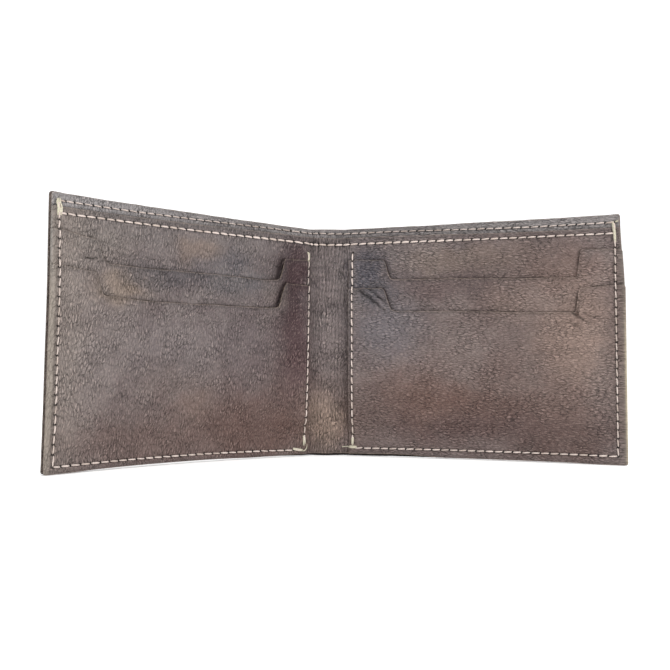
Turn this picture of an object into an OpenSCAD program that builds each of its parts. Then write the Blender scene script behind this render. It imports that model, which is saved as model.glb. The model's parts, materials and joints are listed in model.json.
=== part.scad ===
// Bifold wallet in thin leather, standing open on its lower cut edges like a book.
// +Z runs up the spine, the card side faces -Y, and the outer cover faces +Y.
// The origin is the middle of the spine cover's lower edge.
// Each half turns about a vertical fold line in the middle of the cover's thickness.

/* [Whole wallet] */
// Width of the cover when the wallet lies flat open
flat_width = 235; // [190:1:290]
// Height of the cover
height = 95; // [78:1:120]
// Angle of the left half from flat
left_fold = 38.5; // [0:0.5:90]
// Angle of the right half from flat
right_fold = 19; // [0:0.5:90]
// Radius of the cover's outer corners
corner_r = 2; // [0.5:0.5:8]

/* [Leather and lining] */
// Thickness of the outer cover
cover_t = 1.2; // [0.8:0.1:2]
// Thickness of the lining leather
lining_t = 0.4; // [0.3:0.1:0.8]
// Thickness of the divider leather
divider_t = 0.8; // [0.6:0.1:1.4]
// Thickness of the pocket leather
pocket_t = 0.7; // [0.5:0.1:1.2]
// Depth of the banknote compartment
note_gap = 0.8; // [0.5:0.1:3]
// Depth of a card pocket, just over one card
card_gap = 0.8; // [0.5:0.1:2]

/* [Divider and pockets] */
// Distance of the divider's upper edge below the cover's
divider_drop = 5.4; // [3:0.2:12]
// Distance of the upper pocket's mouth below the cover's upper edge
upper_mouth_drop = 22.6; // [18:0.2:30]
// Distance of the lower pocket's mouth below the upper pocket's
mouth_step = 12.8; // [8:0.2:16]
// Height of a pocket's side wings above its mouth
wing_rise = 10; // [4:0.5:12]
// Width of an outer wing
outer_wing = 15; // [8:0.5:22]
// Width of the left half's inner wings
left_inner_wing = 12; // [8:0.5:20]
// Width of the right half's inner wings
right_inner_wing = 16; // [8:0.5:20]
// Width of the curved slope from a wing to the mouth
wing_slope = 6; // [3:0.5:10]
// Height of the upper pocket's hidden lower edge
hidden_edge_z = 13; // [8:0.5:20]

/* [Stitching] */
// Thickness of the thread
thread_d = 0.7; // [0.4:0.1:1]
// Length of leather taken by one stitch
stitch_pitch = 3; // [2:0.1:4.5]
// Bare leather between two stitches
stitch_space = 0.7; // [0.4:0.1:1.2]
// Inset of the side seams from the outer edges
side_inset = 2; // [1.5:0.1:4]
// Inset of the cover's top row from the upper edge
top_inset = 3.3; // [2:0.1:6]
// Inset of the divider's top row from the divider's upper edge
divider_inset = 2.4; // [1.5:0.1:5]
// Height of the bottom seams
bottom_inset = 3.4; // [2:0.1:6]
// Inset of the inner pocket seams from the pockets' inner edges
inner_inset = 1.9; // [1.5:0.1:4]
// Height where the inner pocket seams begin
inner_seam_z = 6; // [3:0.5:10]
// Thickness of a bar tack
tack_d = 0.9; // [0.7:0.1:1.4]
// Length of a bar tack
tack_length = 6; // [3:0.5:10]

/* [Clearances] */
// Least space beside the hidden seam's thread, between the two pocket panels
thread_clearance = 0.1; // [0.05:0.05:0.5]
// Space between layers of neighbouring bodies at a right-angled fold
fold_clearance = 0.3; // [0.2:0.05:1]
// Space between the thickest stitches of the two halves when the wallet is shut
shut_gap = 0.4; // [0.3:0.1:4]

/* [Hidden] */

// Faces of each layer, counted from the fold line towards the card side
cover_face = cover_t / 2;
lining_face = cover_face + lining_t;
divider_lining_face = lining_face + note_gap + lining_t;
divider_face = divider_lining_face + divider_t;
upper_pocket_face = divider_face + card_gap + pocket_t;
lower_pocket_gap = max(card_gap, thread_d + thread_clearance);
lower_pocket_face = upper_pocket_face + lower_pocket_gap + pocket_t;

// The spine is as wide as both halves are deep, so that the wallet shuts with its halves parallel
spine_width = 2 * (lower_pocket_face + tack_d) + shut_gap;
half_length = (flat_width - spine_width) / 2;
inner_edge = divider_face + fold_clearance;

// Heights of the edges and seams
divider_top = height - divider_drop;
upper_mouth = height - upper_mouth_drop;
lower_mouth = upper_mouth - mouth_step;
upper_wing = upper_mouth + wing_rise;
lower_wing = lower_mouth + wing_rise;
top_row = height - top_inset;
divider_row = divider_top - divider_inset;
hidden_row = hidden_edge_z + side_inset;
side_row = half_length - side_inset;
inner_row = inner_edge + inner_inset;

// A stitch on the cover's outer side lies a whole thread behind it
outer_side = -cover_face - thread_d;

cover_colour = [0.36, 0.27, 0.24];
inside_colour = [0.45, 0.36, 0.33];
lining_colour = [0.33, 0.30, 0.27];
thread_colour = [0.85, 0.78, 0.70];

// Layers of one side of a fold are cut back so far that they clear a right-angled fold
function cut_back(face) = face + fold_clearance;

// Smooth step from 0 to 1, used for the slopes of the pocket mouths
function smooth(t) = t * t * (3 - 2 * t);

// Face of the topmost layer beside the outer or inner seam at height z
function stack_face(z) =
  z < lower_wing ? lower_pocket_face :
  z < upper_wing ? upper_pocket_face :
  z < divider_top ? divider_face : lining_face;

// Puts the drawn half, whose x runs outwards from its fold line, in its place
module on_right() {
  translate([spine_width / 2, 0, 0]) rotate([0, 0, -right_fold]) children();
}
module on_left() {
  translate([-spine_width / 2, 0, 0]) rotate([0, 0, left_fold]) mirror([1, 0, 0]) children();
}

// A flat sheet of an outline drawn in x and z, with its inner face at the given face
module sheet(face, thickness) {
  translate([0, thickness - face, 0]) rotate([90, 0, 0]) linear_extrude(thickness) children();
}

// Rectangle from x0 to x1 with rounded corners at x1 only
module panel_outline(x0, x1, z1) {
  difference() {
    translate([x0, 0]) square([x1 - x0, z1]);
    translate([x1 - corner_r, z1 - corner_r]) corner_waste();
    translate([x1 - corner_r, corner_r]) mirror([0, 1]) corner_waste();
  }
}
module corner_waste() {
  difference() {
    square(2 * corner_r);
    circle(r = corner_r, $fn = 32);
  }
}

// Pocket outline: a straight mouth between two raised wings with smooth slopes
module pocket_outline(z0, mouth, wing, inner_wing) {
  steps = 10;
  mouth_start = inner_edge + inner_wing + wing_slope;
  mouth_end = half_length - outer_wing - wing_slope;
  rise = wing - mouth;
  polygon(concat(
    [[inner_edge, z0], [half_length, z0], [half_length, wing]],
    [for (i = [0:steps]) [mouth_end + wing_slope * (1 - i / steps), mouth + rise * smooth(1 - i / steps)]],
    [for (i = [0:steps]) [mouth_start - wing_slope * i / steps, mouth + rise * smooth(i / steps)]],
    [[inner_edge, wing]]
  ));
}

// One stitch lying on a face along x, or upright along z
module stitch(face, length = stitch_pitch - stitch_space, d = thread_d) {
  translate([-length / 2, -face - d / 2, 0]) rotate([0, 90, 0]) cylinder(d = d, h = length, $fn = 24);
}
module upright_stitch(face, length = stitch_pitch - stitch_space, d = thread_d) {
  translate([0, -face - d / 2, -length / 2]) cylinder(d = d, h = length, $fn = 24);
}

// Row of stitches at height z, from x0 to x1
module row(x0, x1, z, face) {
  count = floor((x1 - x0) / stitch_pitch);
  pitch = (x1 - x0) / count;
  for (i = [0:count - 1]) translate([x0 + (i + 0.5) * pitch, 0, z]) stitch(face);
}

// Column of stitches at x, from z0 to z1, on the topmost layer or on the cover's outer side
module column(x, z0, z1, outside = false) {
  count = floor((z1 - z0) / stitch_pitch);
  pitch = (z1 - z0) / count;
  for (i = [0:count - 1]) {
    z = z0 + (i + 0.5) * pitch;
    translate([x, 0, z]) upright_stitch(outside ? outer_side : stack_face(z - pitch / 2));
  }
}

// Sheets of one half
module half_cover() {
  color(cover_colour) sheet(cover_face, cover_t)
    panel_outline(cut_back(cover_face), half_length, height);
}
module half_lining() {
  color(lining_colour) sheet(lining_face, lining_t)
    panel_outline(cut_back(lining_face), half_length, height);
}
module half_divider_lining() {
  color(lining_colour) sheet(divider_lining_face, lining_t)
    panel_outline(cut_back(divider_lining_face), half_length, divider_top);
}
module half_divider() {
  color(inside_colour) sheet(divider_face, divider_t)
    panel_outline(inner_edge, half_length, divider_top);
}
module half_upper_pocket(inner_wing) {
  color(inside_colour) sheet(upper_pocket_face, pocket_t)
    pocket_outline(hidden_edge_z, upper_mouth, upper_wing, inner_wing);
}
module half_lower_pocket(inner_wing) {
  color(inside_colour) sheet(lower_pocket_face, pocket_t)
    pocket_outline(0, lower_mouth, lower_wing, inner_wing);
}

// Seams of one half; those through the cover show on its outer side too
module half_top_thread() {
  for (face = [lining_face, outer_side]) color(thread_colour)
    row(cut_back(lining_face) + stitch_space, side_row - stitch_pitch / 2, top_row, face);
}
module half_divider_thread() {
  color(thread_colour)
    row(inner_edge + stitch_space, side_row - stitch_pitch / 2, divider_row, divider_face);
}
module half_side_thread() {
  color(thread_colour) column(side_row, bottom_inset, divider_top - tack_length);
  color(thread_colour) column(side_row, bottom_inset, top_row, outside = true);
}
module half_bottom_thread() {
  for (face = [lower_pocket_face, outer_side]) color(thread_colour)
    row(inner_row, side_row - stitch_pitch / 2, bottom_inset, face);
}
module half_inner_thread() {
  color(thread_colour) column(inner_row, inner_seam_z + tack_length, upper_wing - tack_length);
}
module half_pocket_thread() {
  color(thread_colour)
    row(inner_row + stitch_pitch, side_row - stitch_pitch, hidden_row, upper_pocket_face);
}
module half_tacks() {
  color(thread_colour) translate([side_row, 0, divider_top - tack_length / 2])
    upright_stitch(divider_face, tack_length, tack_d);
  color(thread_colour) translate([inner_row, 0, upper_wing - tack_length / 2])
    upright_stitch(upper_pocket_face, tack_length - stitch_space, tack_d);
  color(thread_colour) translate([inner_row, 0, inner_seam_z + tack_length / 2])
    upright_stitch(lower_pocket_face, tack_length - stitch_space, tack_d);
}

// Strip of a spine sheet between the two folds
module spine_strip(face, thickness, top) {
  half = spine_width / 2 - cut_back(face);
  sheet(face, thickness) translate([-half, 0]) square([2 * half, top]);
}
module cover_spine() {
  color(cover_colour) spine_strip(cover_face, cover_t, height);
}
module lining_spine() {
  color(lining_colour) spine_strip(lining_face, lining_t, height);
}
module divider_lining_spine() {
  color(lining_colour) spine_strip(divider_lining_face, lining_t, divider_top);
}
module divider_spine() {
  color(inside_colour) spine_strip(divider_face, divider_t, divider_top);
}
module top_thread_spine() {
  half = spine_width / 2 - cut_back(lining_face) - stitch_space;
  for (face = [lining_face, outer_side]) color(thread_colour) row(-half, half, top_row, face);
}
module divider_thread_spine() {
  half = spine_width / 2 - inner_edge;
  color(thread_colour) row(-half, half, divider_row, divider_face);
}

module cover_left() { on_left() half_cover(); }
module lining_left() { on_left() half_lining(); }
module divider_lining_left() { on_left() half_divider_lining(); }
module divider_left() { on_left() half_divider(); }
module upper_pocket_left() { on_left() half_upper_pocket(left_inner_wing); }
module lower_pocket_left() { on_left() half_lower_pocket(left_inner_wing); }
module top_thread_left() { on_left() half_top_thread(); }
module divider_thread_left() { on_left() half_divider_thread(); }
module side_thread_left() { on_left() half_side_thread(); }
module bottom_thread_left() { on_left() half_bottom_thread(); }
module inner_thread_left() { on_left() half_inner_thread(); }
module pocket_thread_left() { on_left() half_pocket_thread(); }
module tacks_left() { on_left() half_tacks(); }

module cover_right() { on_right() half_cover(); }
module lining_right() { on_right() half_lining(); }
module divider_lining_right() { on_right() half_divider_lining(); }
module divider_right() { on_right() half_divider(); }
module upper_pocket_right() { on_right() half_upper_pocket(right_inner_wing); }
module lower_pocket_right() { on_right() half_lower_pocket(right_inner_wing); }
module top_thread_right() { on_right() half_top_thread(); }
module divider_thread_right() { on_right() half_divider_thread(); }
module side_thread_right() { on_right() half_side_thread(); }
module bottom_thread_right() { on_right() half_bottom_thread(); }
module inner_thread_right() { on_right() half_inner_thread(); }
module pocket_thread_right() { on_right() half_pocket_thread(); }
module tacks_right() { on_right() half_tacks(); }

cover_spine();
lining_spine();
divider_lining_spine();
divider_spine();
top_thread_spine();
divider_thread_spine();
cover_left();
lining_left();
divider_lining_left();
divider_left();
upper_pocket_left();
lower_pocket_left();
top_thread_left();
divider_thread_left();
side_thread_left();
bottom_thread_left();
inner_thread_left();
pocket_thread_left();
tacks_left();
cover_right();
lining_right();
divider_lining_right();
divider_right();
upper_pocket_right();
lower_pocket_right();
top_thread_right();
divider_thread_right();
side_thread_right();
bottom_thread_right();
inner_thread_right();
pocket_thread_right();
tacks_right();
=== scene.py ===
"""A bifold leather wallet standing open: hides, linings and waxed thread, laid out flat, then folded."""
import json
import math

import bpy
import numpy as np
from mathutils import Matrix, Vector


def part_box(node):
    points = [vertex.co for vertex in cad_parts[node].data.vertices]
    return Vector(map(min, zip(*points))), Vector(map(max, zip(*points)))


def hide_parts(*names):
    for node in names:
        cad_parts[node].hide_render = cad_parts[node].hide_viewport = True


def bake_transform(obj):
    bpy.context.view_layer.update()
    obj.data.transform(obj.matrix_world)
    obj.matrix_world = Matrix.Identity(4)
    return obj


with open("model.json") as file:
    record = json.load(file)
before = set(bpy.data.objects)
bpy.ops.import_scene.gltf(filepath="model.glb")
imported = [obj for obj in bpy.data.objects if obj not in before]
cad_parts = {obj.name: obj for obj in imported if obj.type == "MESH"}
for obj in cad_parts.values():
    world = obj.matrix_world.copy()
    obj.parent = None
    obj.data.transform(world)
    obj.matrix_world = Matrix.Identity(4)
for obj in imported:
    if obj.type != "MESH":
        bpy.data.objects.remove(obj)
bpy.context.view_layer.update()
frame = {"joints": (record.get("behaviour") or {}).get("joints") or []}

MM = 0.001

# ---- sizes, in millimetres, from the frame


def corners(node):
    """Lowest and highest corner of a CAD node, in millimetres."""
    low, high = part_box(node)
    return np.array(low) / MM, np.array(high) / MM


joints = {joint["name"]: joint for joint in frame["joints"]}
LEFT, RIGHT = -1, 1
SIDES = {LEFT: "left", RIGHT: "right"}  # also the CAD's words for them
HINGE = joints["right_fold"]["pos_m"][0] / MM
FOLD = {side: -math.radians(joints[SIDES[side] + "_fold"]["range_deg"][0]) for side in SIDES}

COVER_FACE, HEIGHT = corners("cover_spine")[1][1:]
LINING_FACE = -corners("lining_spine")[0][1]
LINING_T = LINING_FACE - COVER_FACE
divider_low, divider_high = corners("divider_spine")
DIVIDER_T = divider_high[1] - divider_low[1]
DIVIDER_TOP = divider_high[2]
far_x = corners("cover_right")[1][0]
HALF = HINGE + (far_x - HINGE - COVER_FACE * math.sin(FOLD[RIGHT])) / math.cos(FOLD[RIGHT])

POCKET_T = 0.7
AIR = 0.02  # kept between sheets that lie on each other
FOLD_ZONE = 5.0  # the hide bends over this length on each side of a fold
POCKET_EDGE = 10.4  # where the pockets' inner edges lie, from the spine's middle
CORNER_R = 0.9
CHAMFER = 0.2  # worn-off corner along a cut edge
FAR = 50.0  # stands for any distance at which an edge no longer matters
RING = 6  # points around a thread

# Seams
TOP_ROW = HEIGHT - 3.3
DIVIDER_ROW = DIVIDER_TOP - 2.3
SIDE_SEAM = HALF - 2.0
BOTTOM_SEAM = 3.4
INNER_SEAM = 12.2
HIDDEN_EDGE = 13.5  # the upper pocket's lower edge, under the lower pocket


def seam_line(at, start, end, pitch, upright=False):
    """A row or column of stitch holes: its place, its ends, and its pitch made to fit between them."""
    fitted = (end - start) / round((end - start) / pitch)
    return dict(at=at, start=start, end=end, pitch=fitted, upright=upright)


def seam_axes(line, s, z):
    """The coordinate that runs with a seam, and the distance across it."""
    along, across = (z, s) if line["upright"] else (s, z)
    return along, across - line["at"]


TOP_LINE = seam_line(TOP_ROW, 0.0, SIDE_SEAM, 3.45)
DIVIDER_LINE = seam_line(DIVIDER_ROW, 0.0, SIDE_SEAM, 3.62)
BOTTOM_LINE = seam_line(BOTTOM_SEAM, INNER_SEAM + 0.8, SIDE_SEAM, 3.5)
SIDE_LINE = seam_line(SIDE_SEAM, BOTTOM_SEAM, TOP_ROW, 3.32, upright=True)
INNER_LINE = seam_line(INNER_SEAM, 5.6, 84.2, 3.45, upright=True)
HIDDEN_LINE = seam_line(HIDDEN_EDGE + 2, INNER_SEAM + 3, SIDE_SEAM - 3, 3.5)


def pocket_cut(mouth, sag, gape, inner, outer):
    """How one pocket is cut.

    mouth: its height at either end; sag: how far its middle hangs lower; gape: how far it stands off at
    its inner slope; inner and outer: height of the wing at the seam and where it turns down, where that
    is, and where it meets the mouth.
    """
    return dict(mouth=mouth, sag=sag, gape=gape, inner=inner, outer=outer)


UPPER_POCKET = {
    LEFT: pocket_cut((71.4, 71.6), 0.0, 2.5, (80.9, 80.3, 22.6, 25.7), (82.0, 80.0, 101.4, 97.2)),
    RIGHT: pocket_cut((72.8, 70.8), 0.0, 0.5, (81.2, 80.8, 25.2, 28.6), (81.2, 81.6, 103.2, 101.4)),
}
LOWER_POCKET = {
    LEFT: pocket_cut((60.2, 60.2), 0.8, 1.7, (70.4, 70.2, 23.2, 25.8), (69.8, 68.4, 101.8, 98.4)),
    RIGHT: pocket_cut((59.7, 57.3), 0.0, 0.5, (69.2, 69.0, 25.0, 29.4), (67.5, 66.7, 102.6, 100.8)),
}
OVERHANG = {LEFT: (0.0, 0.2), RIGHT: (0.1, 0.35)}  # upper and lower pocket, beyond the cover's edge
CUP = {LEFT: 5.0, RIGHT: 2.4}  # how far each half's middle bows back from straight
LIFT = {LEFT: 0.6, RIGHT: 0.2}  # how far the bow raises its middle

# Unevenness of the hides, as smooth noises that are added up: (height, cell across, cell up, seed)
SLOW_WAVES = [(0.35, 34, 30, 11), (0.12, 11, 13, 12)]
HAND_CUT = [(0.28, 17, 10, 21), (0.1, 4, 10, 22)]
SOFT_PUCKERS = [(0.07, 3.1, 2.6, 31), (0.08, 6.5, 2.2, 32)]
SPINE_SWAY = [(0.75, 3.2, 6.5, 41), (0.35, 1.6, 2.6, 44)]
SPINE_RIPPLE = 1.45  # from one upright wrinkle of the spine to the next
COVER_PUCKERS = [(0.07, 5, 4, 52), (0.05, 2.6, 2.8, 54)]
LINING_WRINKLES = [(0.12, 1.5, 5, 71), (0.06, 4, 3, 72)]
SEAM_DENT = 0.24  # how deep pulled thread presses the leather in


def smooth(t):
    """Smooth step: 0 below 0, 1 above 1, 3t^2 - 2t^3 between."""
    t = np.clip(t, 0.0, 1.0)
    return t * t * (3 - 2 * t)


def bump(x, centre, width):
    """A soft hill, exp(-((x - centre) / width)^2)."""
    return np.exp(-(((x - centre) / width) ** 2))


def noise(x, y, cell_x, cell_y, seed):
    """Smooth noise from -1 to 1: random values on a lattice of the given cells, eased between them."""
    table = np.random.default_rng(seed).uniform(-1, 1, (257, 257))
    gx, gy = x / cell_x + 40.0, y / cell_y + 40.0
    ix, iy = np.floor(gx).astype(int), np.floor(gy).astype(int)
    tx, ty = smooth(gx - ix), smooth(gy - iy)
    a, b = table[ix % 256, iy % 256], table[(ix + 1) % 256, iy % 256]
    c, d = table[ix % 256, (iy + 1) % 256], table[(ix + 1) % 256, (iy + 1) % 256]
    return (a * (1 - tx) + b * tx) * (1 - ty) + (c * (1 - tx) + d * tx) * ty


def uneven(x, y, noises):
    """Sum of noises, each given as (height, cell_x, cell_y, seed)."""
    return sum(height * noise(x, y, cell_x, cell_y, seed) for height, cell_x, cell_y, seed in noises)


# ---- the flat wallet, and how it is folded


def stretch(side, s, z):
    """Where (s, z) of the plain layout really lies on the hand-cut and hand-sewn hides.

    Both halves are cut wider towards their outer lower corners. The top rows run high on the left half
    and the spine, the left bottom row runs low, and the left seams lean and sit further in.
    """
    left = side == LEFT
    high = 1.5 - 1.2 * smooth(s / 100) if left else 1.3 - 1.3 * smooth((s - 20) / 70)
    z_moved = z + high * bump(z, 90.8, 4.2) * smooth((HEIGHT - z) / 2.5)
    if not left:
        wider = 1.2 * smooth((HEIGHT - z) / 30) * smooth((s - SIDE_SEAM - 0.3) / 1.8)
        return s + wider, z_moved
    z_moved = z_moved - 0.9 * bump(z, BOTTOM_SEAM, 2.2) * smooth(z / 2) * smooth(s / 10)
    low = 1 - np.clip(z / HEIGHT, 0, 1)
    wider = 1.0 * low ** 2 * smooth((s - 96) / 20)
    side_seam_in = 1.0 * bump(s, SIDE_SEAM, 3.2) * smooth((HALF - s) / 2.0)
    return s + wider - side_seam_in + (1.4 * low - 1.9) * bump(s, INNER_SEAM, 5.5), z_moved


def place(side, s, n, z):
    """Flat layout to the standing wallet, in metres.

    s runs outwards from the spine's middle, n from the fold line towards the card side, z up. Each
    point turns about its fold line by the fold's angle, eased in over the bending zone, after the half
    is bowed back by a parabola and its slow waves are added.
    """
    s, z = stretch(side, s, z)
    out = s - HINGE
    reach = HALF - HINGE
    t = np.clip(out / reach, 0.0, 1.1)
    bow = 4 * t * (1 - t) * smooth(out / 9)
    wave = uneven(side * s, z, SLOW_WAVES)
    n = n - CUP[side] * bow * (1.12 - 0.24 * z / HEIGHT) + wave * smooth((s - 6) / 14)
    angle = FOLD[side] * smooth((out + FOLD_ZONE) / (2 * FOLD_ZONE))
    x = side * (HINGE + out * np.cos(angle) - n * np.sin(angle))
    y = -out * np.sin(angle) - n * np.cos(angle)
    return np.stack([x, y, z + LIFT[side] * bow], -1) * MM


def seam_free(s, z):
    """1 in the middle of a pocket, easing to 0 at the seams around it."""
    return smooth((SIDE_SEAM - s) / 16) * smooth((z - BOTTOM_SEAM) / 16) * smooth((s - INNER_SEAM) / 12)


def slope_curve(t):
    """A steep slope with broadly rounded ends: smooth step taken three times over a widened run."""
    return smooth(smooth(smooth((t + 0.55) / 2.1)))


def mouth_edge(pocket, s):
    """Height of a pocket's upper edge at s: the straight mouth, rising in smooth slopes to its wings."""
    seam_in, turn_in, head_in, foot_in = pocket["inner"]
    seam_out, turn_out, head_out, foot_out = pocket["outer"]
    inner_wing = seam_in + (turn_in - seam_in) * smooth((s - INNER_SEAM) / (head_in - INNER_SEAM))
    outer_wing = seam_out + (turn_out - seam_out) * smooth((SIDE_SEAM - s) / (SIDE_SEAM - head_out))
    inner = 1 - slope_curve((s - head_in) / (foot_in - head_in))
    outer = slope_curve((s - foot_out) / (head_out - foot_out))
    t = np.clip((s - foot_in) / (foot_out - foot_in), 0, 1)
    level, far_level = pocket["mouth"]
    mouth = level + (far_level - level) * t + uneven(s, s * 0, HAND_CUT)
    mouth = mouth - pocket["sag"] * 4 * t * (1 - t) * (0.6 + 0.8 * t)
    return mouth + (inner_wing - mouth) * inner + (outer_wing - mouth) * outer


def divider_gap(side, s, z):
    """Depth of the note compartment, open at the top and closed at the side and bottom seams.

    Smooth steps up from each seam are multiplied; on the left half a hill beside the spine is added.
    """
    gap = 0.12 + 0.85 * smooth((SIDE_SEAM - s) / 22) * smooth((z - BOTTOM_SEAM) / 30)
    gape = 1.1 * bump(s, 20, 15) * smooth((z - 66) / 22) if side == LEFT else 0.3
    return gap * smooth((s + 4) / 18) + gape * smooth((SIDE_SEAM - s) / 22) * smooth((z - 30) / 50)


def divider_front(side, s, z):
    """Face of the divider: what lies behind it, and its own thickness, added up."""
    return LINING_FACE + divider_gap(side, s, z) + LINING_T + DIVIDER_T


def mouth_gape(pocket, s, z):
    """How far a pocket stands off at its inner slope: a hill across s, smooth steps up and down it."""
    turn, head, foot = pocket["inner"][1:]
    down = (z - turn) / (turn - pocket["mouth"][0])
    hill = pocket["gape"] * bump(s, 0.5 * (head + foot) - 0.4, 3.4)
    return hill * smooth(down + 1.9) * (1 - 0.5 * smooth(down + 0.6))


def pocket_gap(pocket, s, z):
    """Air behind a pocket: a little at the seams, more between them, most at its gaping slope."""
    return 0.04 + 0.22 * seam_free(s, z) + mouth_gape(pocket, s, z)


def upper_front(side, s, z):
    """Face of the upper pocket: the divider, the air behind the pocket and its thickness, added up."""
    return divider_front(side, s, z) + pocket_gap(UPPER_POCKET[side], s, z) + POCKET_T


def lower_front(side, s, z):
    """The lower pocket lies on the upper one, and steps down to the divider below its hidden edge."""
    over = smooth((z - HIDDEN_EDGE + 1.2) / 2.4)
    under = over * (pocket_gap(UPPER_POCKET[side], s, z) + POCKET_T)
    return divider_front(side, s, z) + under + pocket_gap(LOWER_POCKET[side], s, z) + POCKET_T


def card_face(side, s, z):
    """Face of whichever sheet is topmost on the card side."""
    pocketed = s > POCKET_EDGE
    face = np.where(z < DIVIDER_TOP, divider_front(side, s, z), LINING_FACE)
    face = np.where(pocketed & (z < mouth_edge(UPPER_POCKET[side], s)), upper_front(side, s, z), face)
    return np.where(pocketed & (z < mouth_edge(LOWER_POCKET[side], s)), lower_front(side, s, z), face)


# ---- meshes


def build(name, points, quads, layers, material, extra=()):
    """Makes a mesh object from points in metres, quads, and per-point layers (name: vectors or values)."""
    mesh = bpy.data.meshes.new(name)
    mesh.from_pydata(points.tolist(), [], quads.tolist() + [list(f) for f in extra])
    for layer, values in layers.items():
        kind = "FLOAT_VECTOR" if values.ndim == 2 else "FLOAT"
        attribute = mesh.attributes.new(layer, kind, "POINT")
        key = "vector" if values.ndim == 2 else "value"
        attribute.data.foreach_set(key, values.astype(np.float32).ravel())
    mesh.polygons.foreach_set("use_smooth", np.ones(len(mesh.polygons), bool))
    mesh.set_sharp_from_angle(angle=math.radians(58))
    mesh.materials.append(material)
    piece = bpy.data.objects.new(name, mesh)
    bpy.context.scene.collection.objects.link(piece)
    return piece


def skin(loops):
    """Quads between neighbouring closed loops, given as point numbers: (..., loops, points around)."""
    after = np.roll(loops, -1, axis=-1)
    corners_of = [loops[..., :-1, :], loops[..., 1:, :], after[..., 1:, :], after[..., :-1, :]]
    return np.stack(corners_of, -1).reshape(-1, 4)


def steps(*stops):
    """Values from stop to stop, each stretch given as (start, end, spacing)."""
    parts = [np.linspace(a, b, max(2, int(round((b - a) / d)) + 1))[:-1] for a, b, d in stops]
    return np.concatenate(parts + [[stops[-1][1]]])


def clearance(edge, s, z, sign):
    """Distance from (s, z) to whatever lies above (sign 1) or below (sign -1) an edge, up to 4 mm away."""
    best = np.full(s.shape, FAR)
    for shift in np.linspace(-4, 4, 33):
        best = np.minimum(best, np.hypot(shift, np.maximum(0, sign * (edge(s + shift) - z))))
    return best


def corner_drop(s, end):
    """How far a rounded corner lowers the edge at s, for a sheet that ends at end."""
    inside = np.clip(s - (end - CORNER_R), 0, CORNER_R)
    return CORNER_R - np.sqrt(CORNER_R ** 2 - inside ** 2)


def hide(word, side, columns, rows, low, high, front, back, material, relief=None, over_spine=False,
         sheet=0, behind=None, gaping=None):
    """A closed sheet of leather or lining, standing for the CAD nodes whose names start with word.

    columns are its s values and rows run from 0 to 1 between the edges low(s) and high(s). Its two
    faces are front(s, z) and back(s, z); around the rim both are bevelled and joined. relief(s, z) is
    added to the front face only. behind(s) is the upper edge of the sheet in front, if any, above which
    painted contact shade is laid, and gaping a pocket whose gape widens that painted shade. The profile
    is a closed loop: up the front, over the upper edge, down the back and under the lower edge, carried
    along s and closed at both ends.
    """
    cut_start = not over_spine
    end_cut = np.array([CHAMFER, 0.0])
    s_line = np.concatenate([columns[:-1], columns[-1] - end_cut])
    if cut_start:
        s_line = np.concatenate([columns[0] + np.array([0.0, CHAMFER]), s_line[1:]])
    shrink = np.zeros(len(s_line))
    shrink[-1] = 1
    shrink[0] = 1 if cut_start else 0
    lows, highs = low(s_line), high(s_line)
    inner_low, inner_high = lows + CHAMFER, highs - CHAMFER
    grid_s = np.repeat(s_line[:, None], len(rows), 1)
    grid_z = inner_low[:, None] + rows[None, :] * (inner_high - inner_low)[:, None]
    face, rear = front(grid_s, grid_z), back(grid_s, grid_z)
    bare_face = face.copy()
    height = np.zeros_like(face) if relief is None else relief(grid_s, grid_z)
    face = face + height
    pinch = CHAMFER * shrink[:, None]
    face, rear = face - pinch, rear + pinch

    def rim(z_edge, row):
        """The two rim points above or below a border row: at the edge, a bevel in from either face."""
        z_rim = np.repeat(z_edge[:, None], 2, 1)
        n_rim = np.stack([bare_face[:, row] - CHAMFER, rear[:, row] + CHAMFER], 1)
        n_rim = n_rim + shrink[:, None] * CHAMFER * 0.3 * np.array([-1.0, 1.0])
        return z_rim, n_rim

    top_z, top_n = rim(highs, -1)
    low_z, low_n = rim(lows, 0)
    n_all = np.concatenate([face, top_n, rear[:, ::-1], low_n[:, ::-1]], 1)
    z_all = np.concatenate([grid_z, top_z, grid_z[:, ::-1], low_z[:, ::-1]], 1)
    s_all = np.repeat(s_line[:, None], z_all.shape[1], 1)

    count, around = z_all.shape
    j = len(rows)
    edge = np.zeros((count, around))
    edge[:, j:j + 2] = 1
    edge[:, -2:] = 1
    edge[-1, :] = 1
    if cut_start:
        edge[0, :] = 1
    border = np.minimum(clearance(high, s_all, z_all, 1), z_all - lows[:, None])
    border = np.minimum(border, s_line[-1] - s_all)
    if cut_start:
        border = np.minimum(border, s_all - s_line[0])

    ids = np.arange(count * around).reshape(count, around)
    front_ids = np.concatenate([ids[:, -1:], ids[:, :j + 1]], 1)
    back_ids = np.concatenate([ids[:, -2:-1], ids[:, j + 1:-2][:, ::-1]], 1)
    caps = []
    for column, flip in ((0, False), (-1, True)):
        f, b = front_ids[column], back_ids[column]
        cap = np.stack([f[:-1], f[1:], b[1:], b[:-1]], -1)
        caps.append(cap[:, ::-1] if flip else cap)
    quads = np.concatenate([skin(ids)] + caps)
    if side == LEFT:
        quads = quads[:, ::-1]
    points = place(side, s_all, n_all, z_all).reshape(-1, 3)
    flat = np.stack([side * s_all, z_all, n_all], -1).reshape(-1, 3)
    over = np.full(s_all.size, FAR)
    if behind is not None:
        over = clearance(behind, s_all, z_all, -1) - clearance(behind, s_all, z_all, 1)
        # the painted contact shade reaches further where the pocket in front gapes
        over = over if gaping is None else over / (1 + 0.4 * mouth_gape(gaping, s_all, z_all))
        over = over.ravel()
    layers = {"flat": flat, "edge": edge.ravel(), "border": border.ravel(), "behind": over}
    layers["sheet"] = np.full(s_all.size, float(sheet))
    layers["relief"] = np.concatenate([height, np.zeros((count, around - j))], 1).ravel()
    piece = build(word + SIDES[side] + "_hide", points, quads, layers, material)
    slot = material.name.split(".")[0]  # without the number added where the CAD has that name too
    attach(piece, side, slot, word, over_spine)


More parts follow.
